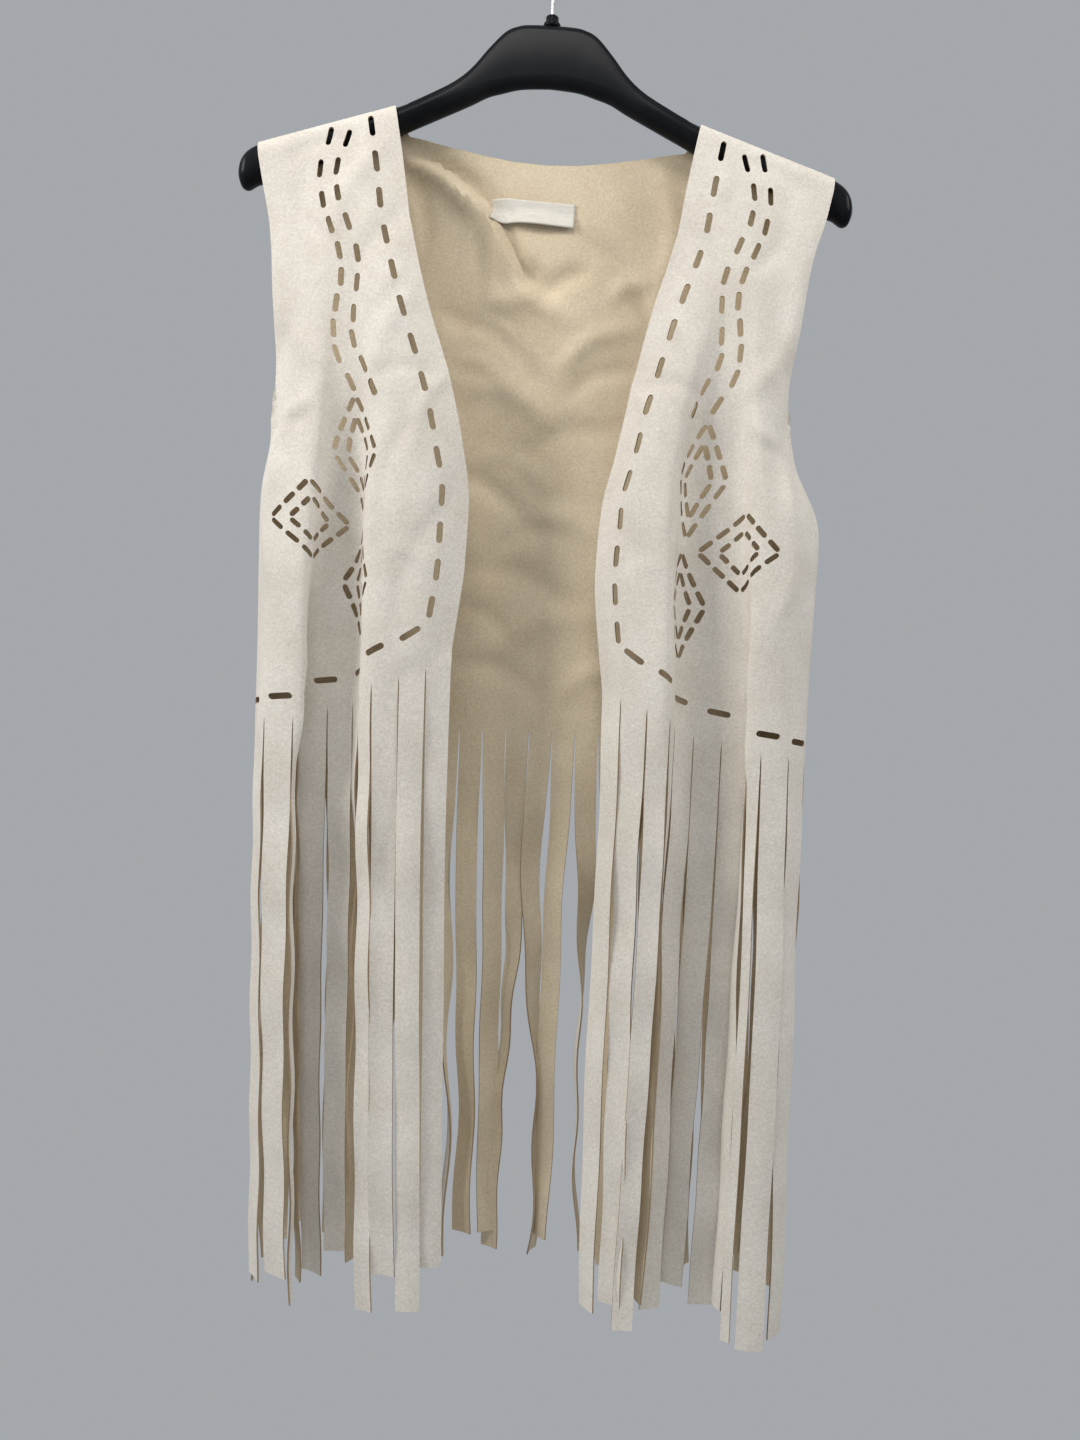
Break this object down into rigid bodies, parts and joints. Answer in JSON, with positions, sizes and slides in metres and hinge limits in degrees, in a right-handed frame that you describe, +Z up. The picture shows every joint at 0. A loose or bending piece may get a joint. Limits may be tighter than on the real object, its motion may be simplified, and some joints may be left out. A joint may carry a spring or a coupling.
{
  "type": "fringe vest on hanger",
  "caption": "Sleeveless open-front vest of thin suede cloth with punched slots and long cut fringe, hung on a moulded hanger with a wire hook.",
  "frame": {"origin": "inside top of the hook's crook, where a rail carries it", "axes": "+Z up, +X to the wearer's left, +Y from the front of the vest to its back"},
  "size_m": [0.442, 0.0713, 1.012],
  "materials": {
    "suede": "matte brushed suede cloth",
    "label": "satin woven label",
    "hanger_plastic": "glossy black moulded plastic",
    "hook_wire": "plated steel wire"
  },
  "bodies": {
    "root": {"front_right": "suede", "front_left": "suede", "back": "suede", "fringe_right": "suede", "fringe_left": "suede", "fringe_back": "suede", "neck_label": "label", "hanger_body": "hanger_plastic", "hanger_hook": "hook_wire"}
  },
  "joints": []
}
